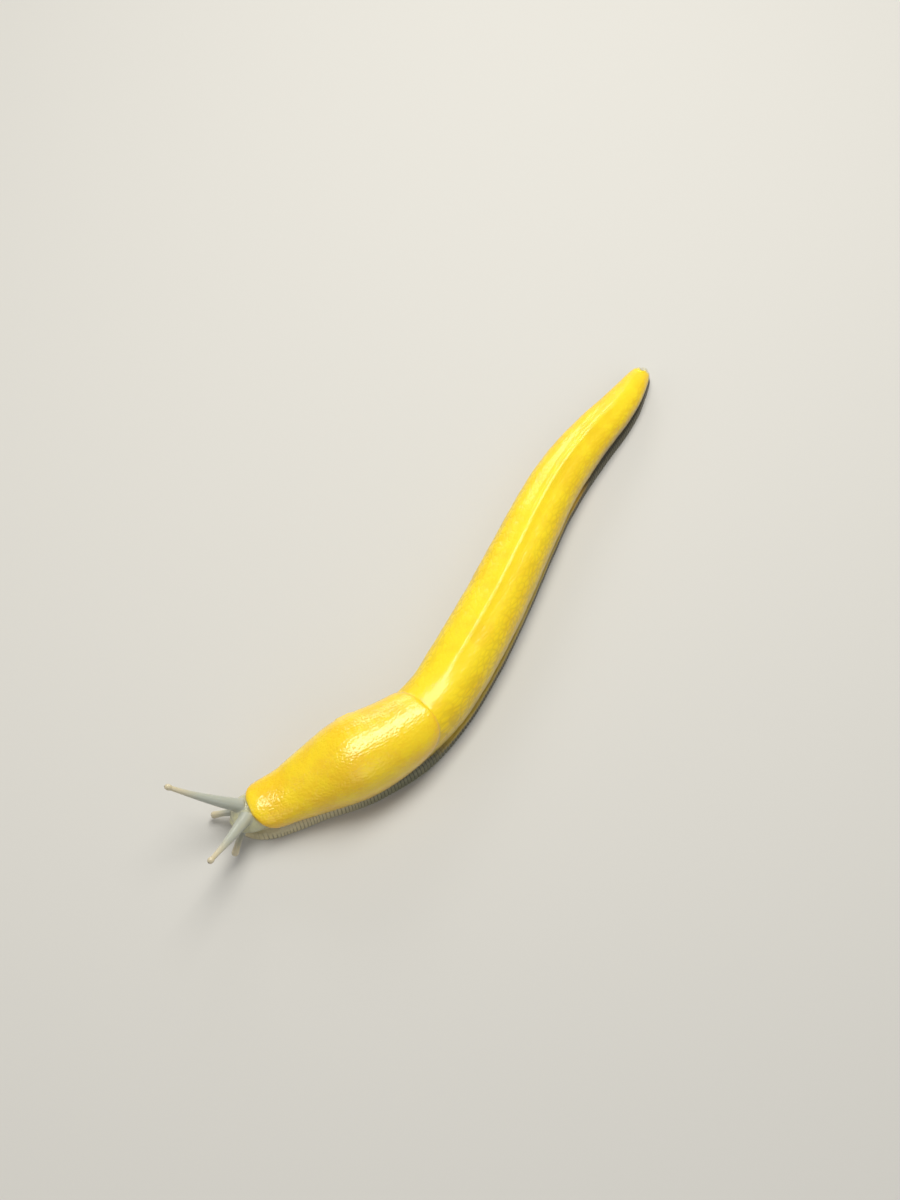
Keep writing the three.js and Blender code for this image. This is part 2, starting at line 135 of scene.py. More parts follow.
PORE = {"station": 36, "side": 0.5, "radius": 2.1, "squeeze": 0.75, "rim": 0.25, "depth": 2.0,
        "hole": 0.78, "edge": 0.3}
TAIL_PORE = {"station": 187.6, "length": 1.0, "half": 0.8, "above": 2.6, "depth": 0.8, "lobes": 0.25,
             "lobe_ring": 1.4, "lobe_width": 0.4}
HEAD = {"front": -0.8, "nose": 5.2, "half": 5.3, "middle": 5.6, "above": 3.6, "below": 3.4,
        "droop": 0.5, "squareness": 0.88, "bluntness": 0.85, "nape_shrink": 0.25}
STALK = {"length": 21, "root": 1.85, "neck": 0.62, "bulb": 0.85, "pale_from": 0.5}
STALKS = [{"side": 1, "out": 43, "up": 32, "curl": -3}, {"side": -1, "out": 26.5, "up": 30, "curl": 6}]
STALK_ROOT = {"station": 2.9, "out": 1.7, "height": 7.9}
FEELER = {"root": 1.2, "shaft": 0.85, "knob": 0.95, "end": 0.86, "pale_from": 0.1}
FEELERS = [{"side": 1, "out": 55, "up": 6, "length": 7.5}, {"side": -1, "out": 22, "up": -20, "length": 6.6}]
FEELER_ROOT = {"station": 0.8, "out": 2.8, "height": 3.9}
LIPS = [(0, 0, 4.3, (1.5, 1.9, 0.8)), (0.3, 1.35, 3.0, (1.4, 0.95, 1.0)),
        (0.3, -1.35, 3.0, (1.4, 0.95, 1.0))]
EYE = {"droop": 0.3, "behind_tip": 1.05, "out": 0.83, "flatness": 0.8}
ON_FLOOR = 0.16
FLOOR_SNAP = 0.14

# Soft steps from 0 to 1: the value where each starts, and its length. The values are stations or
# heights in millimetres, shares of a way along or down, or for the last two, measures of the folds.
STEPS = {
    "nape": (1.2, 0.7),
    "mantle_rounds": (20, 25),
    "rim_free": (0.72, 0.2),
    "hood_starts": (4.2, 4),
    "hood_ends": (12, 18),
    "front_above": (1.2, 0.8),
    "front_ends": (13, 9),
    "rear_starts": (48, 4),
    "rear_ends": (58, 3),
    "side_low": (0.86, 0.08),
    "side_starts": (22, 8),
    "rim_low": (0.94, 0.05),
    "rim_starts": (16, 8),
    "middle_starts": (50, 8),
    "middle_ends": (138, 10),
    "middle_above": (1.7, 0.8),
    "neck_ends": (9, 14),
    "tail_pale": (186.4, 1.6),
    "lined_whole": (10, 8),
    "lined_low": (2.2, -1.2),
    "lined_starts": (2, 5),
    "sides": (0.05, 0.4),
    "front_creased": (10, 10),
    "bulge_ends": (9, 9),
    "bulge_above": (1.2, 0.6),
    "groove": (0.1, 0.9),
    "upright": (0, 0.5),
}

# Rounds of smoothing along the mesh, for the skin's shape and for its masks
ROUNDS = {"fairing": 4, "join": 26, "root": 12, "front": 6, "rear": 6, "side": 3, "horn": 8, "down": 6,
          "under": 2, "flat": 3, "bulge": 16, "plain": 4}
FAIRING = (0.5, -0.52)

# Where the parts' joins are smoothed, and how strongly
JOIN = {"horns_from": 0.4, "roots_above": 1, "rear_above": 4.5, "side_share": 0.5, "strength": 0.5}

# Fine relief: the size of its cells, where they differ along X, Y and Z, and its height, in millimetres
TUBERCLE = (2.6, 1.25, 1.25)
TUBERCLE_SLANT = 0.8
KEEL_WRINKLES = 0.3
HEAD_CREASES = {"cell": (0.9, 0.9, 3.2), "depth": 0.09}
HORN_CREASES = {"cell": 0.5, "depth": 0.02}
GRANULES = {"cell": (1.3, 0.75, 0.75), "blob": 1.7, "blobs": 0.4}
SWELLS = {"size": 7.0, "height": 0.14}
BULGE = 2.6
FOLD_WANDER = {"size": 6, "share": 0.8}
CREASE_SHARE = 0.32
# The painted shadow under the mantle's edge: its width, the rim's share, how far the flank runs per share of
# the way down, and the station where it starts
HEM = {"width": 0.9, "rim_share": 0.8, "flank_length": 2.1, "from": 9}

# Numbers at each point of the skin that its material reads
MASKS = ("mantle", "foot", "head", "horn", "bulb", "down", "station", "phase", "lined", "hollow", "hem",
         "slime", "under", "hole")

# Sizes of the materials' patches, painted glint flecks, grain, cells, pigment and roller grain, in
# millimetres
PATCH = 9
GLINT_FLECK = 1.1
GRAIN = 0.8
CELL = 0.5
RELIEF_DEPTH = 0.12
PIGMENT = 0.2
ROLLER = 2.5
ROLLER_DEPTH = 0.05

# Regions of the skin, as numbers on its sources
BACK, CROWN, SADDLE, FOOT, HORN, LIP = range(6)

# The photograph's viewing angle: the camera looks down from the slug's left, in front
VIEW = {"elevation": 60, "azimuth": 39, "distance": 0.452, "lens": 50,
        "target": (0.00053, -0.00488, 0.006)}

# The studio, in metres and watts: each lamp's name, place, width, depth, power and colour
LAMPS = [
    ("key", (-0.18, -0.1, 0.6), 0.7, 0.26, 4.2, "#fffdf6"),
    ("fill", (0.3, 0.5, 0.5), 0.5, 0.5, 0.6, "#fbfcff"),
    ("front", (0.5, -0.35, 0.35), 0.3, 0.3, 0.4, "#fff6ea"),
    ("rear", (-0.45, -0.5, 0.28), 0.3, 0.15, 0.8, "#fffdf6"),
]
ROOM = {"colour": "#f2f4f7", "strength": 0.25}
FLOOR_REACH = 2.5


def heading(s):
    """The body's heading at stations, in radians from +X."""
    turned = sum(turn * smooth((s - at) / over + 0.5) for at, over, turn in BENDS)
    return np.radians(HEAD_HEADING + turned)


STEP = 0.25
_walk = np.arange(STEP / 2, LENGTH + 2, STEP)
_line_s = np.append(0, _walk + STEP / 2)
_line_x = SNOUT[0] - np.append(0, np.cumsum(STEP * np.cos(heading(_walk))))
_line_y = SNOUT[1] - np.append(0, np.cumsum(STEP * np.sin(heading(_walk))))


def laid(points):
    """Points of the straight slug, with +X forward, laid in the pose, in metres."""
    s, y, z = -points[:, 0], points[:, 1], points[:, 2]
    turn = heading(np.maximum(s, 0))
    ahead = np.minimum(s, 0)
    x = np.interp(s, _line_s, _line_x) - ahead * np.cos(turn) - y * np.sin(turn)
    across = np.interp(s, _line_s, _line_y) - ahead * np.sin(turn) + y * np.cos(turn)
    return np.stack([x, across, z], 1) * MM


def overhang(s):
    return FLANK_INSET * np.minimum(1, body_half(s) / 4)


def foot_round(s):
    front = np.clip((s - SOLE_START + GAP) / FOOT_ROUND["front"], 0, 1)
    back = np.clip((LENGTH + GAP - s) / FOOT_ROUND["back"], 0, 1)
    return np.sqrt(1 - (1 - front) ** 2) * np.sqrt(1 - (1 - back) ** 2)


def sole_half(s):
    return (body_half(s) - overhang(s)) * foot_round(s)


def flank(s, a):
    """The body's section at a station, from the keel (a = 0) down to the groove (a = 1 or -1)."""
    down = np.abs(a)
    half, top, groove = body_half(s), body_top(s), fringe_top(s)
    widest = groove + WIDEST * (top - groove)
    low = np.clip((down - SHOULDER) / (1 - SHOULDER), 0, 1) * np.pi / 2
    high = np.clip(down / SHOULDER, 0, 1) * np.pi / 2
    y = np.where(down > SHOULDER, half - overhang(s) * (1 - np.cos(low)), half * np.sin(high) ** 0.96)
    keel = np.where(s < MANTLE["back"], 0, keel_height(s)) * np.exp(-((y / KEEL_WIDTH) ** 2))
    z_high = widest + (top - widest) * np.cos(high) ** 0.92 + keel
    z = np.where(down > SHOULDER, widest - (widest - groove) * np.sin(low), z_high)
    return np.sign(a + 1e-12) * y, z


def off_flank(s, a, out):
    """The same point moved out from the surface, within the section."""
    small = 0.01
    y0, z0 = flank(s, a - small)
    y1, z1 = flank(s, a + small)
    size = np.hypot(y1 - y0, z1 - z0)
    y, z = flank(s, a)
    return y - out * (z1 - z0) / size, z + out * (y1 - y0) / size


def along_mantle(s):
    return (2 * (s - MANTLE["front"])) / (MANTLE["back"] - MANTLE["front"]) - 1


def mantle_edge(s):
    power = MANTLE["squareness"]
    return MANTLE["edge"] * np.maximum(1 - np.abs(along_mantle(s)) ** power, 0) ** (1 / power)


def mantle_thickness(s, across):
    along = along_mantle(s)
    hump = HUMP["height"] * np.exp(-(((along - HUMP["middle"]) / HUMP["spread"]) ** 2)) * (1 - across**2)
    side_power = lerp(RIM_POWER["front_side"], RIM_POWER["rear_side"], step(s, "mantle_rounds"))
    ends = np.where(along > 0, RIM_POWER["rear_end"], RIM_POWER["front_end"])
    sides = np.maximum(1 - np.abs(across) ** side_power, 0)
    return (mantle_lip(s) + hump) * np.sqrt(sides * np.maximum(1 - np.abs(along) ** ends, 0))


def hood_lift(s):
    return GAP + HOOD["lift"] * (1 - smooth((s - MANTLE["front"]) / HOOD["length"]))


class Source:
    """A closed shape that the skin wraps: rings of points, their region, and how far down the flank."""

    def __init__(self, rings, region, down=0.0):
        self.rings = np.array(rings, float)
        count, size = self.rings.shape[:2]
        self.region = np.broadcast_to(region, (count, size)).ravel()
        self.down = np.broadcast_to(down, (count, size)).ravel()

    def mesh(self):
        """The points and faces, with a fan of faces over each end."""
        count, size = self.rings.shape[:2]
        points = self.rings.reshape(-1, 3)
        ends = self.rings[[0, -1]].mean(1)
        faces = []
        for i in range(count - 1):
            for j in range(size):
                a, b = i * size + j, i * size + (j + 1) % size
                faces.append((a, b, b + size, a + size))
        for start, hub in ((0, count * size), ((count - 1) * size, count * size + 1)):
            faces += [(hub, start + j, start + (j + 1) % size) for j in range(size)]
        return np.concatenate([points, ends]), faces


def back_source():
    """The body from the neck to the tail, down to just above the floor."""
    stations = np.arange(5.5, BACK_END, 0.5)
    a = np.sin(np.linspace(-0.5, 0.5, 75) * np.pi) * 0.35 + np.linspace(-1, 1, 75) * 0.65
    rings = []
    for s in stations:
        y, z = flank(s, a)
        y = np.concatenate([y, [y[-1], y[0]]])
        z = np.concatenate([z, [0.5, 0.5]])
        rings.append(np.stack([np.full_like(y, -s), y, z], 1))
    return Source(rings, BACK, np.append(np.abs(a), [1, 1]))


def head_source():
    """The blunt snout, run on into the neck."""
    reaches = np.concatenate([[0.01, 0.04, 0.09], np.linspace(0.15, 1, 16), np.linspace(1.1, 1.9, 8)])
    turns = np.linspace(0, 2 * np.pi, 48, endpoint=False)
    rings = []
    for reach in reaches:
        nose = min(reach, 1)
        shrink = 1 - HEAD["nape_shrink"] * step(reach, "nape")
        size = math.sqrt(1 - (1 - nose) ** 2) ** HEAD["bluntness"] * shrink

        def square(v):
            return np.sign(v) * np.abs(v) ** HEAD["squareness"]

        up = np.sin(turns)
        tall = np.where(up > 0, HEAD["above"], HEAD["below"]) * size
        s = lerp(HEAD["front"], HEAD["nose"], reach)
        z = HEAD["middle"] - HEAD["droop"] * (1 - nose) + tall * square(up)
        y = HEAD["half"] * size * square(np.cos(turns))
        rings.append(np.stack([np.full_like(y, -s), y, z], 1))
    return Source(rings, CROWN, 0.5)


def mantle_source():
    """The mantle: a thick lid, sunk into the back, with a free edge round its front."""
    center = (MANTLE["front"] + MANTLE["back"]) / 2
    half = (MANTLE["back"] - MANTLE["front"]) / 2
    rings = []
    for turn in np.linspace(-0.5, 0.5, 110):
        s = center + math.sin(turn * math.pi) * MANTLE["reach"] * half
        across = np.sin(np.linspace(-0.5, 0.5, 61) * np.pi)
        edge = mantle_edge(s)
        lift = hood_lift(s)
        y, z = off_flank(s, across * edge, lift + mantle_thickness(s, across))
        near_rim = np.maximum(step(np.abs(across), "rim_free"), 1 - step(s, "hood_starts"))
        free = near_rim * (1 - step(s, "hood_ends"))
        sunk = lerp(-MANTLE["sunk"], lift, free)
        inner_y, inner_z = off_flank(s, (across * edge)[1:-1], sunk[1:-1])
        y, z = np.concatenate([y, inner_y[::-1]]), np.concatenate([z, inner_z[::-1]])
        rings.append(np.stack([np.full_like(y, -s), y, z], 1))
    down = np.abs(np.sin(np.linspace(-0.5, 0.5, 61) * np.pi))
    return Source(rings, SADDLE, np.concatenate([down, down[1:-1][::-1]]))


def foot_source(folds):
    """The foot: a flat sole between two fringes that lean in to the flanks."""
    rings = []
    for s in np.arange(SOLE_START - 0.2, LENGTH + 0.21, 0.5):
        wall = sole_half(s) + GAP
        reach = fringe_reach(s) * lerp(FRINGE["end"], 1, foot_round(s)) - folds / 2
        top = lerp(FRINGE["front_top"], fringe_top(s) - GAP / 2, smooth((s - SOLE_START) / FRINGE["rise"]))
        out = [(reach - 0.3, 0), (reach - 0.05, 0.15), (reach, 0.5), (reach * 0.97, 0.9),
               (reach * 0.92, top * 0.45), (reach * FRINGE["lean"], top * 0.6),
               (reach * 0.62, top * 0.84), (reach * FRINGE["crest"], top)]
        side = [(wall + o, z) for o, z in out] + [(wall - 1.2, top + 0.2)]
        ring = [(y, z) for y, z in side] + [(-y, z) for y, z in reversed(side)]
        rings.append([(-s, y, z) for y, z in ring])
    return Source(rings, FOOT, 1.0)


def horn_line(root, horn, length):
    """A horn's gently curled line, with +X forward: its start, elbow and tip."""
    out, up, curl = (math.radians(horn.get(key, 0)) for key in ("out", "up", "curl"))
    side = horn["side"]
    start = np.array([-root["station"], side * root["out"], root["height"]])

    def way(turn):
        level = math.cos(up)
        return np.array([level * math.cos(out + turn), side * level * math.sin(out + turn), math.sin(up)])

    elbow = start + way(-curl) * length / 2
    return start, elbow, elbow + way(curl) * length / 2


def horn_source(line, radius, count, pale_from, sides=20):
    """A horn as rings along its line; in place of the way down, it holds how pale each ring is."""
    start, elbow, tip = line
    rings = []
    ways = np.linspace(0, 1, count)
    for t in ways:
        at = (1 - t) ** 2 * start + 2 * t * (1 - t) * elbow + t * t * tip
        way = (1 - t) * (elbow - start) + t * (tip - elbow)
        way /= np.linalg.norm(way)
        across = np.cross([0, 0, 1], way)
        across /= np.linalg.norm(across)
        over = np.cross(way, across)
        turns = np.linspace(0, 2 * np.pi, sides, endpoint=False)[:, None]
        rings.append(at + radius(t) * (across * np.cos(turns) + over * np.sin(turns)))
    pale = smooth((ways - pale_from) / (0.92 - pale_from))
    return Source(rings, HORN, pale[:, None])


BULB_START = 1 - 2.5 * STALK["bulb"] / STALK["length"]


def stalk_radius(t):
    """An eye stalk is a long cone that narrows most along its middle and swells to a bulb."""
    shaft = lerp(STALK["root"], STALK["neck"], (math.sin(t * math.pi / 2) + smooth(t)) / 2)
    along = np.clip((2 * (t - BULB_START)) / (1 - BULB_START) - 1, -1, 1)
    bulb = STALK["bulb"] * math.sqrt(1 - along**2) ** 0.85
    return max(bulb, shaft * (1 - smooth((t - 0.9) / 0.1)), 0.05)


def feeler_radius(t):
    """A feeler narrows, swells to a knob and ends round."""
    swell = (FEELER["knob"] - FEELER["shaft"]) * smooth((t - 0.6) / 0.25)
    past = max((t - FEELER["end"]) / (1 - FEELER["end"]), 0)
    shaft = lerp(FEELER["root"], FEELER["shaft"], smooth(2 * t))
    return max((shaft + swell) * math.sqrt(1 - past**2), 0.05)


def lip_source(station, y, z, size):
    """A lip: a small ellipsoid, as rings along X."""
    rings = []
    for along in np.sin(np.linspace(-0.49, 0.49, 14) * np.pi):
        turns = np.linspace(0, 2 * np.pi, 20, endpoint=False)
        width = math.sqrt(1 - along**2)
        rings.append(np.stack([np.full(20, -station + along * size[0]), y + size[1] * width * np.cos(turns),
                               z + size[2] * width * np.sin(turns)], 1))
    return Source(rings, LIP)


def relaxed(values, edges, rounds, amount=0.5):
    """Values averaged with their neighbours along the mesh's edges."""
    a, b = edges[:, 0], edges[:, 1]
    count = len(values)
    degree = np.bincount(a, minlength=count) + np.bincount(b, minlength=count)
    flat = values.reshape(count, -1)
    for _ in range(rounds):
        mean = np.empty_like(flat)
        for k in range(flat.shape[1]):
            mean[:, k] = np.bincount(a, flat[b, k], count) + np.bincount(b, flat[a, k], count)
        mean /= degree[:, None]
        flat = flat + (mean - flat) * amount
    return flat.reshape(values.shape)


def vertex_normals(points, faces):
    """Normals of a mesh of four-sided faces, at its points."""
    across = np.cross(points[faces[:, 2]] - points[faces[:, 0]], points[faces[:, 3]] - points[faces[:, 1]])
    total = np.zeros_like(points)
    for corner in range(4):
        for k in range(3):
            total[:, k] += np.bincount(faces[:, corner], across[:, k], len(points))
    return total / np.maximum(np.linalg.norm(total, axis=1), 1e-12)[:, None]


def noise_at(points, size):
    """Soft noise from -1 to 1, with blobs of about that size in millimetres."""
    return np.array([noise.noise(p) for p in (points / size).tolist()])


def creases_at(points, size):
    """A net of creases round cells of about that size: 0 on a cell, 1 in a crease."""
    distances = np.array([noise.voronoi(p)[0] for p in (points / size).tolist()])
    return 1 - smooth((distances[:, 1] - distances[:, 0]) / CREASE_SHARE)


def wrapped(sources, voxel):
    """One closed skin round all the sources: its points, four-sided faces and edges."""
    points, faces, first = [], [], 0
    for source in sources:
        mine, sides = source.mesh()
        points.append(mine)
        faces += [tuple(first + i for i in side) for side in sides]
        first += len(mine)
    mesh = bpy.data.meshes.new("wrapped")
    mesh.from_pydata(np.concatenate(points).tolist(), [], faces)
    body = bpy.data.objects.new("wrapped", mesh)
    bpy.context.collection.objects.link(body)
    remesh = body.modifiers.new("wrap", "REMESH")
    remesh.mode = "VOXEL"
    remesh.voxel_size = voxel
    made = bpy.data.meshes.new_from_object(body.evaluated_get(bpy.context.evaluated_depsgraph_get()))
    bpy.data.objects.remove(body)
    bpy.data.meshes.remove(mesh)
    co = np.empty(len(made.vertices) * 3)
    made.vertices.foreach_get("co", co)
    corners = np.empty(len(made.loops), int)
    made.loops.foreach_get("vertex_index", corners)
    edges = np.empty(len(made.edges) * 2, int)
    made.edges.foreach_get("vertices", edges)
    if len(corners) != 4 * len(made.polygons):
        raise RuntimeError("the wrapped skin has faces that aren't four-sided")
    bpy.data.meshes.remove(made)
    return co.reshape(-1, 3), corners.reshape(-1, 4), edges.reshape(-1, 2)


def nearest(sources, points):
    """The region and the way down the flank of the source point nearest to each point."""
    places = np.concatenate([source.rings.reshape(-1, 3) for source in sources])
    region = np.concatenate([source.region for source in sources])
    down = np.concatenate([source.down for source in sources])
    tree = KDTree(len(places))
    for i, place in enumerate(places.tolist()):
        tree.insert(place, i)
    tree.balance()
    found = np.array([tree.find(p)[1] for p in points.tolist()])
    return region[found], down[found]


def new_mesh(name, points, faces):
    mesh = bpy.data.meshes.new(name)
    mesh.from_pydata(points.tolist(), [], list(map(tuple, faces)))
    mesh.polygons.foreach_set("use_smooth", [True] * len(mesh.polygons))
    piece = bpy.data.objects.new(name, mesh)
    bpy.context.collection.objects.link(piece)
    return piece


def store(piece, name, values):
    """A number at each point of the mesh, which the material reads."""
    piece.data.attributes.new(name, "FLOAT", "POINT").data.foreach_set("value", values.astype(np.float32))


def add_node(tree, kind, inputs=None, **settings):
    """Adds a node with its settings, and its inputs as numbers, colours or links."""
    made = tree.nodes.new(kind)
    for name, value in settings.items():
        setattr(made, name, value)
    for key, value in (inputs or {}).items():
        if isinstance(value, bpy.types.NodeSocket):
            tree.links.new(value, made.inputs[key])
        else:
            made.inputs[key].default_value = value
    return made


def new_material(name):
    """An empty node material and its tree."""
    material = bpy.data.materials.new(name)
    material.use_nodes = True
    material.node_tree.nodes.clear()
    return material, material.node_tree


class SlugSizes(bpy.types.PropertyGroup):
    """Sizes of the skin's finest shapes."""

    voxel: FloatProperty(name="Skin mesh", description="Spacing of the skin's mesh", default=0.16 * MM,
                         unit="LENGTH")
    fold_pitch: FloatProperty(name="Fold pitch", description="Distance between the fringe's folds",
                              default=0.9 * MM, unit="LENGTH")
    fold_depth: FloatProperty(name="Fold depth", description="Depth of the fringe's grooves",
                              default=0.24 * MM, unit="LENGTH")
    wrinkle: FloatProperty(name="Wrinkle depth", description="Depth of the back's creases",
                           default=0.06 * MM, unit="LENGTH")
    granule: FloatProperty(name="Granule", description="Height of the mantle's fine granules",
                           default=0.05 * MM, unit="LENGTH")
    eye: FloatProperty(name="Eye", description="Radius of the black eye spot", default=0.25 * MM,
                       unit="LENGTH")


class SlugColours(bpy.types.PropertyGroup):
    """Colours of the skin, eyes and floor."""

    back: FloatVectorProperty(name="Back", description="Bright yellow of the back", subtype="COLOR",
                              default=linear("#fbde1c"))
    # The next colour is the back's deeper patches, and also painted shade down its sides
    back_deep_and_shade: FloatVectorProperty(name="Back, deep", description="Deeper yellow in the back's patches",
                                   subtype="COLOR", default=linear("#f0c412"))
    # The next two colours, laid low on the sides, are partly the skin's tone and partly painted shade
    flank: FloatVectorProperty(name="Flank", description="Olive yellow low on the flank", subtype="COLOR",
                               default=linear("#a98d26"))
    flank_tail_and_shade: FloatVectorProperty(name="Flank, tail", description="Amber low on the tail", subtype="COLOR",
                                    default=linear("#dc9c12"))
    # The next colour is painted shade, low on the tail's flanks
    flank_painted_shade: FloatVectorProperty(name="Flank, shade", description="Olive brown low on the tail's flanks",
                                     subtype="COLOR", default=linear("#77651f"))
    mantle: FloatVectorProperty(name="Mantle", description="Golden yellow of the mantle", subtype="COLOR",
                                default=linear("#fcd816"))
    # The next colour is the mantle's deeper patches, and also painted shade at its sides
    mantle_deep_and_shade: FloatVectorProperty(name="Mantle, deep", description="Deep gold in the mantle's patches",
                                     subtype="COLOR", default=linear("#edb60e"))
    head: FloatVectorProperty(name="Head", description="Olive grey of the head's top", subtype="COLOR",
                              default=linear("#9c9d80"))
    neck: FloatVectorProperty(name="Neck", description="Greenish cream low on the head and neck",
                              subtype="COLOR", default=linear("#c9c7a0"))
    horn: FloatVectorProperty(name="Horns", description="Pale grey of the horns", subtype="COLOR",
                              default=linear("#b0b3a6"))
    bulb: FloatVectorProperty(name="Bulbs", description="Pale tan of the bulbs", subtype="COLOR",
                              default=linear("#d2c6a6"))
    fringe: FloatVectorProperty(name="Fringe", description="Pale cream of the front fringe", subtype="COLOR",
                                default=linear("#d8cda6"))
    fringe_middle: FloatVectorProperty(name="Fringe, middle", description="Olive grey of the fringe's middle",
                                       subtype="COLOR", default=linear("#85856a"))
    fringe_tail: FloatVectorProperty(name="Fringe, tail", description="Grey brown of the rear fringe",
                                     subtype="COLOR", default=linear("#57523b"))
    line: FloatVectorProperty(name="Fringe lines", description="Dark lines between the folds",
                              subtype="COLOR", default=linear("#3b3726"))
    # The next colour is painted shadow, in the crease under the mantle's edge
    crease: FloatVectorProperty(name="Crease", description="Dark olive in the crease under the mantle's edge",
                                subtype="COLOR", default=linear("#6d5c1c"))
    sole: FloatVectorProperty(name="Sole", description="Cream of the sole", subtype="COLOR",
                              default=linear("#cfc49a"))
    slime: FloatVectorProperty(name="Slime", description="Whitish skin round the tail's pore",
                               subtype="COLOR", default=linear("#cdc9b4"))
    eye: FloatVectorProperty(name="Eyes", description="Near black of the eye spots", subtype="COLOR",
                             default=linear("#14110e"))
    floor: FloatVectorProperty(name="Floor", description="Pale floor", subtype="COLOR",
                               default=linear("#cdcbc6"))


class Mixer:
    """Adds the nodes that mix a material's colours, by places on the object and by its masks."""

    def __init__(self, tree, colours):
        self.tree = tree
        self.colours = colours
        self.places = add_node(tree, "ShaderNodeTexCoord").outputs["Object"]

    def mask(self, name):
        return add_node(self.tree, "ShaderNodeAttribute", attribute_name=name).outputs["Fac"]

    def noise(self, millimetres, detail=3.0, rough=0.5):
        scale = 1 / (millimetres * MM)
        settings = {"Vector": self.places, "Scale": scale, "Detail": detail, "Roughness": rough}
        return add_node(self.tree, "ShaderNodeTexNoise", settings).outputs["Fac"]

    def ramp(self, value, low, high, to_low=0.0, to_high=1.0):
        """The value, run softly from one range to another."""
        settings = {"Value": value, "From Min": low, "From Max": high, "To Min": to_low, "To Max": to_high}
        made = add_node(self.tree, "ShaderNodeMapRange", settings, interpolation_type="SMOOTHSTEP")
        return made.outputs[0]

    def over(self, below, above, share):
        """One colour laid over another by a share; each is a colour's name or a node's output."""
        below, above = (self.colour(c) if isinstance(c, str) else c for c in (below, above))
        inputs = {0: share, 6: below, 7: above}
        return add_node(self.tree, "ShaderNodeMix", inputs, data_type="RGBA").outputs[2]

    def colour(self, name):
        return (*getattr(self.colours, name), 1)

    def calc(self, a, b=0.0, operation="MULTIPLY"):
        return add_node(self.tree, "ShaderNodeMath", {0: a, 1: b}, operation=operation).outputs[0]

    def bump(self, height, strength, depth):
        """A normal that follows a height, with its depth in millimetres."""
        settings = {"Strength": strength, "Distance": depth * MM, "Height": height}
        return add_node(self.tree, "ShaderNodeBump", settings).outputs[0]


def back_colour(mix, masks, patches, low):
    """The back is brightest at the keel; low on the flank it turns olive, and amber brown on the tail. The
    deeper yellow down the sides, the olive brown low on the tail and the darker creases are painted shade;
    the olive and amber low down are partly the skin's tone and partly painted shade.
    """
    shade = mix.calc(mix.ramp(masks["down"], 0.45, 0.8), mix.ramp(masks["station"], 138, 158))
    foot_of_flank = mix.over("flank", "flank_tail_and_shade", mix.ramp(masks["station"], 120, 160))
    colour = mix.over("back", "back_deep_and_shade", mix.calc(patches, 0.5))
    # Deeper yellow down the sides, away from the keel: painted shade where the back turns from the light
    colour = mix.over(colour, "back_deep_and_shade", mix.calc(mix.ramp(masks["down"], 0.12, 0.6), 0.45))
    # Low on the flank, the flank's olive and the tail's amber: partly the skin's tone, partly painted shade
    colour = mix.over(colour, foot_of_flank, mix.calc(low, 0.85))
    # Painted shade: olive brown darkening low on the tail's flanks
    colour = mix.over(colour, "flank_painted_shade", shade)
    # Darker in the creases between the tubercles: painted shade in the creases
    return mix.over(colour, foot_of_flank, mix.calc(masks["hollow"], 0.25))


def mantle_colour(mix, patches, low):
    """Golden yellow, deeper in patches, with painted shade in deep gold at the sides, and fine bright flecks
    that are painted glints off the granules.
    """
    glint_flecks = mix.ramp(mix.noise(GLINT_FLECK, 3, 0.6), 0.45, 0.75)
    colour = mix.over("mantle", "mantle_deep_and_shade", mix.calc(patches, 0.5))
    # Deep gold at the mantle's sides, where its surface turns down: painted shade
    colour = mix.over(colour, "mantle_deep_and_shade", mix.calc(low, 0.8))
    # Paler flecks: painted glints off the mantle's granules
    return mix.over(colour, "back", mix.calc(glint_flecks, 0.3))


def fringe_colour(mix, masks):
    """Cream in front, then olive grey, then grey brown, with dark lines in the grooves between the folds."""
    station = masks["station"]
    wave = mix.calc(mix.calc(masks["phase"], 2 * math.pi), operation="COSINE")
    strength = mix.calc(mix.ramp(station, 15, 60, 0.45, 0.6), masks["lined"])
    colour = mix.over("fringe", "fringe_middle", mix.ramp(station, 18, 42))
    colour = mix.over(colour, "fringe_tail", mix.ramp(station, 40, 66))
    return mix.over(colour, "line", mix.calc(mix.ramp(wave, 0.35, 1.0), strength))


def skin_colour(mix, masks):
    """The colours of the back, mantle, head, horns and foot, each laid on where it belongs."""
    height = add_node(mix.tree, "ShaderNodeSeparateXYZ", {0: mix.places}).outputs["Z"]
    patches = mix.ramp(mix.noise(PATCH, 4, 0.6), 0.38, 0.66)
    low = mix.ramp(masks["down"], 0.5, 1.0)
    colour = back_colour(mix, masks, patches, low)
    colour = mix.over(colour, mantle_colour(mix, patches, low), masks["mantle"])
    # Painted shadow in the crease under the mantle's edge, and painted shade on its lower rim, lighter behind
    # the mantle
    hem = mix.calc(masks["hem"], mix.ramp(masks["station"], 48, 54, 0.7, 0.3))
    colour = mix.over(colour, "crease", hem)
    head = mix.over("neck", "head", mix.ramp(height, 7 * MM, 10.5 * MM))
    colour = mix.over(colour, head, masks["head"])
    colour = mix.over(colour, mix.over("horn", "bulb", masks["bulb"]), masks["horn"])
    colour = mix.over(colour, fringe_colour(mix, masks), masks["foot"])
    colour = mix.over(colour, "sole", masks["under"])
    colour = mix.over(colour, "slime", masks["slime"])
    # The breathing pore's hole in the dark line colour: painted shade in the hole
    return mix.over(colour, "line", masks["hole"])


def skin_relief(mix, masks):
    """Fine granules, finer than the mesh, that break up the mucus's highlights."""
    cells = add_node(mix.tree, "ShaderNodeTexVoronoi", {"Vector": mix.places, "Scale": 1 / (CELL * MM)},
                     feature="SMOOTH_F1").outputs["Distance"]
    relief = mix.calc(mix.calc(cells, -0.5), mix.noise(GRAIN, 4, 0.65), "ADD")
    relief = mix.calc(relief, mix.ramp(masks["mantle"], 0, 1, 0.5, 0.6))
    return mix.calc(relief, mix.ramp(masks["horn"], 0, 1, 1.0, 0.35))


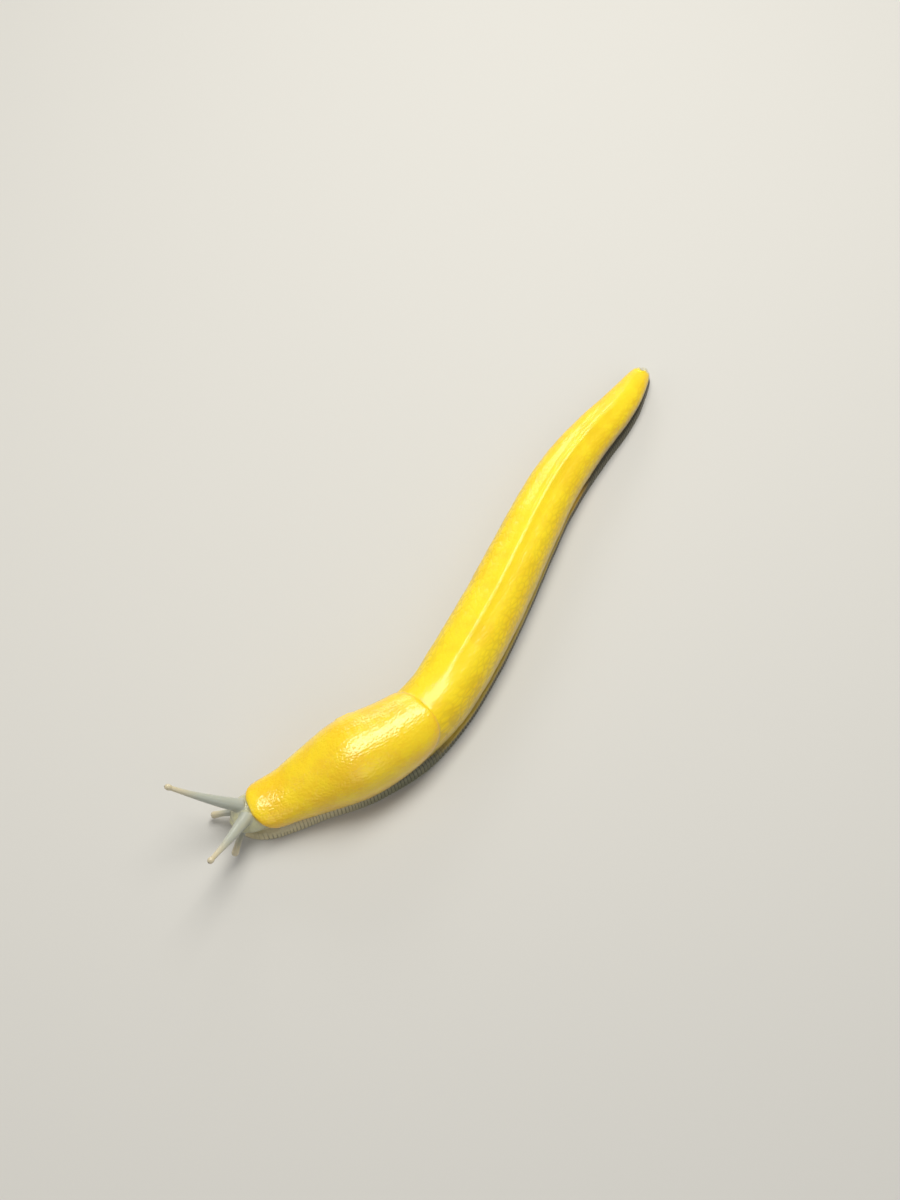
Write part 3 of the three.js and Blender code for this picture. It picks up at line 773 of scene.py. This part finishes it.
def skin_material(colours):
    """Wet living slug skin: soft pigment under clear mucus, which gives sharp broken highlights.

    The mucus lies thickest on the mantle, head and horns, and its own surface is rougher in detail
    than the pigment under it.
    """
    material, tree = new_material("living slug skin, wet with mucus")
    mix = Mixer(tree, colours)
    masks = {name: mix.mask(name) for name in MASKS}
    relief = skin_relief(mix, masks)
    wet = mix.calc(mix.calc(masks["mantle"], masks["head"], "ADD"), masks["horn"], "ADD")
    shader = add_node(tree, "ShaderNodeBsdfPrincipled", {
        "Base Color": skin_colour(mix, masks),
        "Roughness": 0.36,
        "IOR": 1.4,
        "Subsurface Weight": 0.22,
        "Subsurface Radius": (1.0, 0.85, 0.6),
        "Subsurface Scale": 0.45 * MM,
        "Coat Weight": mix.ramp(wet, 0, 1, 0.45, 1.0),
        "Coat Roughness": 0.07,
        "Coat IOR": 1.5,
        "Normal": mix.bump(relief, 0.35, RELIEF_DEPTH),
        "Coat Normal": mix.bump(relief, 0.6, RELIEF_DEPTH),
    })
    add_node(tree, "ShaderNodeOutputMaterial", {"Surface": shader.outputs[0]})
    return material


def eye_material(colours):
    """The retina's black pigment under clear skin: very dark and glossy."""
    material, tree = new_material("black eye pigment under clear skin")
    mix = Mixer(tree, colours)
    pale = (*(2.2 * c + 0.01 for c in colours.eye), 1)
    shader = add_node(tree, "ShaderNodeBsdfPrincipled", {
        "Base Color": mix.over("eye", pale, mix.noise(PIGMENT, 2)),
        "Roughness": 0.12,
        "IOR": 1.4,
        "Coat Weight": 1.0,
        "Coat Roughness": 0.03,
    })
    add_node(tree, "ShaderNodeOutputMaterial", {"Surface": shader.outputs[0]})
    return material


def floor_material(colours):
    """Matt painted board: pale, with a very faint roller grain."""
    material, tree = new_material("matt painted board")
    mix = Mixer(tree, colours)
    shader = add_node(tree, "ShaderNodeBsdfPrincipled", {
        "Base Color": mix.colour("floor"),
        "Roughness": 0.75,
        "Normal": mix.bump(mix.noise(ROLLER, 2), 0.04, ROLLER_DEPTH),
    })
    add_node(tree, "ShaderNodeOutputMaterial", {"Surface": shader.outputs[0]})
    return material


class Skin:
    """The wrapped skin as it is shaped: its mesh, each point's region and way down, and its masks."""

    def __init__(self, sources, voxel):
        self.points, self.faces, self.edges = wrapped(sources, voxel)
        for amount in FAIRING * ROUNDS["fairing"]:
            self.points = relaxed(self.points, self.edges, 1, amount)
        self.region, self.down = nearest(sources, self.points)
        self.masks = {}
        self.flat = np.ones(len(self.points))

    def within(self, *regions):
        return np.isin(self.region, regions)

    def mask(self, share, rounds="plain"):
        """A share from 0 to 1 at each point, softened along the mesh."""
        return np.clip(relaxed(share.astype(float), self.edges, ROUNDS[rounds]), 0, 1)

    def join(self):
        """Lets the horns, lips, neck and front of the foot flow together, and the mantle into the back."""
        s, z = -self.points[:, 0], self.points[:, 2]
        rooted = self.within(CROWN, LIP) | (self.within(HORN) & (s > JOIN["horns_from"]))
        rooted &= z > JOIN["roots_above"]
        front = self.within(BACK, FOOT) * step(z, "front_above") * (1 - step(s, "front_ends"))
        rear = step(s, "rear_starts") * (1 - step(s, "rear_ends")) * (z > JOIN["rear_above"])
        side = self.within(SADDLE) * step(self.down, "side_low") * step(s, "side_starts")
        share = self.mask(rooted, "root") + self.mask(front, "front")
        share += self.mask(rear, "rear") + self.mask(side * JOIN["side_share"], "side")
        amount = JOIN["strength"] * np.clip(share, 0, 1)[:, None]
        self.points = relaxed(self.points, self.edges, ROUNDS["join"], amount)

    def measure(self, pitch):
        """Fills in the masks: where each part lies, and what its colours and folds follow."""
        s, z, masks = -self.points[:, 0], self.points[:, 2], self.masks
        back, foot, horn = self.within(BACK), self.within(FOOT), self.within(HORN)
        under = z < ON_FLOOR
        masks["station"] = s
        masks["mantle"] = self.mask(self.within(SADDLE))
        masks["horn"] = self.mask(horn, "horn")
        masks["bulb"] = relaxed(np.where(horn, self.down, 0), self.edges, ROUNDS["horn"])
        masks["down"] = relaxed(self.down, self.edges, ROUNDS["down"])
        masks["under"] = self.mask(under & foot, "under")
        masks["slime"] = self.mask(back | foot) * step(s, "tail_pale")
        crown = self.mask(self.within(CROWN, LIP, HORN), "horn")
        masks["head"] = np.clip(crown + (1 - step(s, "neck_ends")) * self.mask(back), 0, 1)

        # Along the middle only the foot's lower edge is dark; above it the flank's colour runs on
        middle = step(s, "middle_starts") * (1 - step(s, "middle_ends"))
        masks["foot"] = self.mask(foot) * (1 - middle * step(z, "middle_above"))

        # The dark hem is painted shadow in the crease beside the mantle, and painted shade on the rim of the
        # mantle itself
        past_edge = (self.down - mantle_edge(s)) * HEM["flank_length"] * body_half(s)
        beyond = np.maximum(np.maximum(past_edge, s - MANTLE["back"]), 0)
        rim = masks["mantle"] * step(masks["down"], "rim_low") * step(s, "rim_starts") * HEM["rim_share"]
        masks["hem"] = self.mask(back & (s > HEM["from"])) * np.exp(-((beyond / HEM["width"]) ** 2)) + rim

        # The fringe's folds keep their pitch but for a slow wander
        wander = np.array([noise.noise((v, 0.0, 0.0)) for v in (s / FOLD_WANDER["size"]).tolist()])
        masks["phase"] = s / pitch + FOLD_WANDER["share"] * wander
        lined = step(s, "lined_whole") + step(z, "lined_low") * step(s, "lined_starts")
        masks["lined"] = np.clip(lined, 0, 1)
        self.flat = 1 - self.mask(under, "flat")

    def wrinkles(self, depth):
        """Long creases between the back's tubercles, which slant back down its sides."""
        points, masks = self.points, self.masks
        slant = points.copy()
        slant[:, 0] += TUBERCLE_SLANT * np.abs(points[:, 1])
        bare = np.clip(1 - sum(masks[k] for k in ("mantle", "foot", "horn", "head")), 0, 1)
        creases = creases_at(slant, TUBERCLE) * bare
        sides = step(masks["down"], "sides")
        # The creases' share, which the colour darkens as painted shade
        masks["hollow"] = np.clip(creases * sides, 0, 1)
        return -depth * creases * lerp(KEEL_WRINKLES, 1, sides)

    def texture(self, granule):
        """Creases on the head, front foot and horns, the mantle's granules and soft swells."""
        points, masks = self.points, self.masks
        not_horn = 1 - masks["horn"]
        front_foot = masks["foot"] * (1 - step(masks["station"], "front_creased")) * self.flat
        creased = np.clip(masks["head"] * not_horn + front_foot, 0, 1)
        push = -HEAD_CREASES["depth"] * creases_at(points, HEAD_CREASES["cell"]) * creased
        push -= HORN_CREASES["depth"] * creases_at(points, HORN_CREASES["cell"]) * masks["horn"]
        net = GRANULES["blobs"] * noise_at(points, GRANULES["blob"]) - creases_at(points, GRANULES["cell"])
        push += granule * net * masks["mantle"]
        return push + SWELLS["height"] * noise_at(points, SWELLS["size"]) * not_horn * self.flat

    def bulge(self):
        """Fills the groove between the neck and the front of the foot, so that they make one bulge."""
        seam = relaxed(np.clip(self.masks["foot"], 0, 1), self.edges, ROUNDS["bulge"])
        fore = 1 - step(self.masks["station"], "bulge_ends")
        return BULGE * seam * (1 - seam) * fore * step(self.points[:, 2], "bulge_above")

    def folds(self, depth, normals):
        """Grooves between the fringe's folds, on its upright faces."""
        masks = self.masks
        upright = step(np.abs(normals[:, 1]) + np.abs(normals[:, 0]), "upright")
        groove = step(np.cos(2 * np.pi * masks["phase"]), "groove")
        return -depth * groove * masks["lined"] * masks["foot"] * upright * self.flat

    def breathing_pore(self):
        """A raised rim round a deep hole in the mantle, on the right."""
        station, side = PORE["station"], -PORE["side"]
        out = hood_lift(station) + mantle_thickness(station, side / MANTLE["edge"])
        middle = np.array(off_flank(station, side, out))
        way = np.array(off_flank(station, side - 0.02, out)) - middle
        way /= math.hypot(*way)
        along = (self.masks["station"] - station) / PORE["radius"]
        down = (self.points[:, 1:] - middle) @ way / (PORE["radius"] * PORE["squeeze"])
        ring = np.where(self.points[:, 1] < 0, np.hypot(along, down), np.inf)
        # The hole's share, which the colour fills with the dark line colour as painted shade
        self.masks["hole"] = smooth((PORE["hole"] - ring) / PORE["edge"])
        rim = PORE["rim"] * np.exp(-(((ring - 1) / PORE["edge"]) ** 2))
        return rim - PORE["depth"] * self.masks["hole"]

    def tail_pore(self):
        """The mucous pore: a pit on the end of the tail, between soft lobes."""
        y, z = self.points[:, 1], self.points[:, 2]
        along = (self.masks["station"] - TAIL_PORE["station"]) / TAIL_PORE["length"]
        pit = np.hypot(along, y / TAIL_PORE["half"]) + 3 * (z < TAIL_PORE["above"])
        past_rim = (pit - TAIL_PORE["lobe_ring"]) / TAIL_PORE["lobe_width"]
        lobes = TAIL_PORE["lobes"] * np.exp(-(past_rim**2))
        return (lobes - TAIL_PORE["depth"] * (1 - smooth(pit))) * self.flat

    def relief(self, sizes):
        """Moves each point along the skin's own normal by all the relief, and sets the sole on the floor."""
        normals = vertex_normals(self.points, self.faces)
        push = self.wrinkles(sizes.wrinkle / MM) + self.texture(sizes.granule / MM) + self.bulge()
        push += self.folds(sizes.fold_depth / MM, normals) + self.breathing_pore() + self.tail_pore()
        self.points = self.points + normals * push[:, None]
        self.points[self.points[:, 2] < FLOOR_SNAP, 2] = 0


def skin_sources(folds):
    """All the closed shapes under the skin."""
    sources = [back_source(), head_source(), mantle_source(), foot_source(folds)]
    for stalk, feeler in zip(STALKS, FEELERS):
        stalk_line = horn_line(STALK_ROOT, stalk, STALK["length"])
        feeler_line = horn_line(FEELER_ROOT, feeler, feeler["length"])
        sources.append(horn_source(stalk_line, stalk_radius, 90, STALK["pale_from"]))
        sources.append(horn_source(feeler_line, feeler_radius, 40, FEELER["pale_from"]))
    return sources + [lip_source(*lip) for lip in LIPS]


class SLUG_OT_skin(bpy.types.Operator):
    """Makes the slug's skin, one closed surface from the snout to the tail"""

    bl_idname = "slug.skin"
    bl_label = "Skin"

    def execute(self, context):
        sizes = context.scene.slug_sizes
        shaped = Skin(skin_sources(sizes.fold_depth / MM), sizes.voxel / MM)
        shaped.join()
        shaped.measure(sizes.fold_pitch / MM)
        shaped.relief(sizes)
        skin = new_mesh("slug_skin", laid(shaped.points), shaped.faces)
        for name in MASKS:
            store(skin, name, shaped.masks[name])
        skin.data.materials.append(skin_material(context.scene.slug_colours))
        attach(skin, "root")
        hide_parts(*sorted(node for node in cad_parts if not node.startswith("eye_")))
        return {"FINISHED"}


class SLUG_OT_eyes(bpy.types.Operator):
    """Makes the two black eye spots in the bulbs of the eye stalks"""

    bl_idname = "slug.eyes"
    bl_label = "Eyes"

    def execute(self, context):
        sizes, colours = context.scene.slug_sizes, context.scene.slug_colours
        material = eye_material(colours)
        for name, stalk in zip(("left", "right"), STALKS):
            start, elbow, tip = horn_line(STALK_ROOT, stalk, STALK["length"])
            way = (tip - elbow) / np.linalg.norm(tip - elbow)
            look = way - np.array([0, 0, EYE["droop"]])
            look /= np.linalg.norm(look)
            bulb_middle = tip - way * STALK["bulb"] * EYE["behind_tip"]
            place = bulb_middle + look * STALK["bulb"] * EYE["out"]
            radius = sizes.eye / MM
            points, faces = ball(24, 14)
            side = np.cross(look, [0, 0, 1])
            side /= np.linalg.norm(side)
            axes = np.stack([side, np.cross(side, look), look])
            points = place + (points * [radius, radius, EYE["flatness"] * radius]) @ axes
            eye = new_mesh(f"eye_spot_{name}", laid(points), faces)
            eye.data.materials.append(material)
            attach(eye, "root")
            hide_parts(f"eye_{name}")
        return {"FINISHED"}


def ball(turns, rows):
    """A ball of radius 1: its points and faces."""
    heights = np.cos(np.linspace(0, np.pi, rows + 1)[1:-1])
    around = np.linspace(0, 2 * np.pi, turns, endpoint=False)
    points = [(0, 0, 1)]
    for z in heights:
        r = math.sqrt(1 - z * z)
        points += [(r * math.cos(t), r * math.sin(t), z) for t in around]
    points.append((0, 0, -1))
    faces = [(0, 1 + j, 1 + (j + 1) % turns) for j in range(turns)]
    for i in range(rows - 2):
        a = 1 + i * turns
        for j in range(turns):
            k = (j + 1) % turns
            faces.append((a + j, a + turns + j, a + turns + k, a + k))
    last, base = len(points) - 1, 1 + (rows - 2) * turns
    faces += [(last, base + (j + 1) % turns, base + j) for j in range(turns)]
    return np.array(points, float), faces


class SLUG_OT_stage(bpy.types.Operator):
    """Makes the plain pale floor, the soft lights and the camera"""

    bl_idname = "slug.stage"
    bl_label = "Stage"

    def execute(self, context):
        scene = context.scene
        corners = FLOOR_REACH * np.array([(-1, -1, 0), (1, -1, 0), (1, 1, 0), (-1, 1, 0)], float)
        floor = new_mesh("floor", corners, [(0, 1, 2, 3)])
        floor.data.materials.append(floor_material(scene.slug_colours))
        target = Vector(VIEW["target"])
        for name, place, width, depth, watts, colour in LAMPS:
            lamp = bpy.data.lights.new(name, "AREA")
            lamp.shape = "RECTANGLE"
            lamp.size, lamp.size_y, lamp.energy, lamp.color = width, depth, watts, linear(colour)
            holder = bpy.data.objects.new(name, lamp)
            level = Vector((place[1], -place[0], 0)).normalized()
            across = Vector((1, 0, 0)) if name == "key" else level
            shine = (Vector(place) - target).normalized()
            up = shine.cross(across).normalized()
            holder.matrix_world = Matrix((up.cross(shine), up, shine)).transposed().to_4x4()
            holder.location = place
            scene.collection.objects.link(holder)
        world = bpy.data.worlds.new("soft white room")
        world.use_nodes = True
        background = world.node_tree.nodes["Background"].inputs
        background["Color"].default_value = (*linear(ROOM["colour"]), 1)
        background["Strength"].default_value = ROOM["strength"]
        scene.world = world
        scene.view_settings.view_transform = "Standard"
        elevation, azimuth = math.radians(VIEW["elevation"]), math.radians(VIEW["azimuth"])
        back = Vector((math.cos(azimuth) * math.cos(elevation), math.sin(azimuth) * math.cos(elevation),
                       math.sin(elevation)))
        lens = bpy.data.cameras.new("camera")
        lens.lens = VIEW["lens"]
        lens.clip_start = 0.01
        camera = bpy.data.objects.new("camera", lens)
        camera.location = target + back * VIEW["distance"]
        camera.rotation_euler = (-back).to_track_quat("-Z", "Y").to_euler()
        scene.collection.objects.link(camera)
        scene.camera = camera
        return {"FINISHED"}


class SLUG_PT_panel(bpy.types.Panel):
    """Lists the slug's pieces, sizes and colours"""

    bl_idname = "SLUG_PT_panel"
    bl_label = "Banana slug"
    bl_space_type = "VIEW_3D"
    bl_region_type = "UI"
    bl_category = "Slug"

    def draw(self, context):
        for operator in (SLUG_OT_skin, SLUG_OT_eyes, SLUG_OT_stage):
            self.layout.operator(operator.bl_idname)
        for group in (context.scene.slug_sizes, context.scene.slug_colours):
            for name in group.__annotations__:
                self.layout.prop(group, name)


CLASSES = (SlugSizes, SlugColours, SLUG_OT_skin, SLUG_OT_eyes, SLUG_OT_stage, SLUG_PT_panel)


def register():
    for cls in CLASSES:
        bpy.utils.register_class(cls)
    bpy.types.Scene.slug_sizes = PointerProperty(type=SlugSizes)
    bpy.types.Scene.slug_colours = PointerProperty(type=SlugColours)


def unregister():
    del bpy.types.Scene.slug_colours
    del bpy.types.Scene.slug_sizes
    for cls in reversed(CLASSES):
        bpy.utils.unregister_class(cls)


def main():
    register()
    bpy.ops.slug.stage()
    bpy.ops.slug.skin()
    bpy.ops.slug.eyes()


if __name__ == "__main__":
    main()
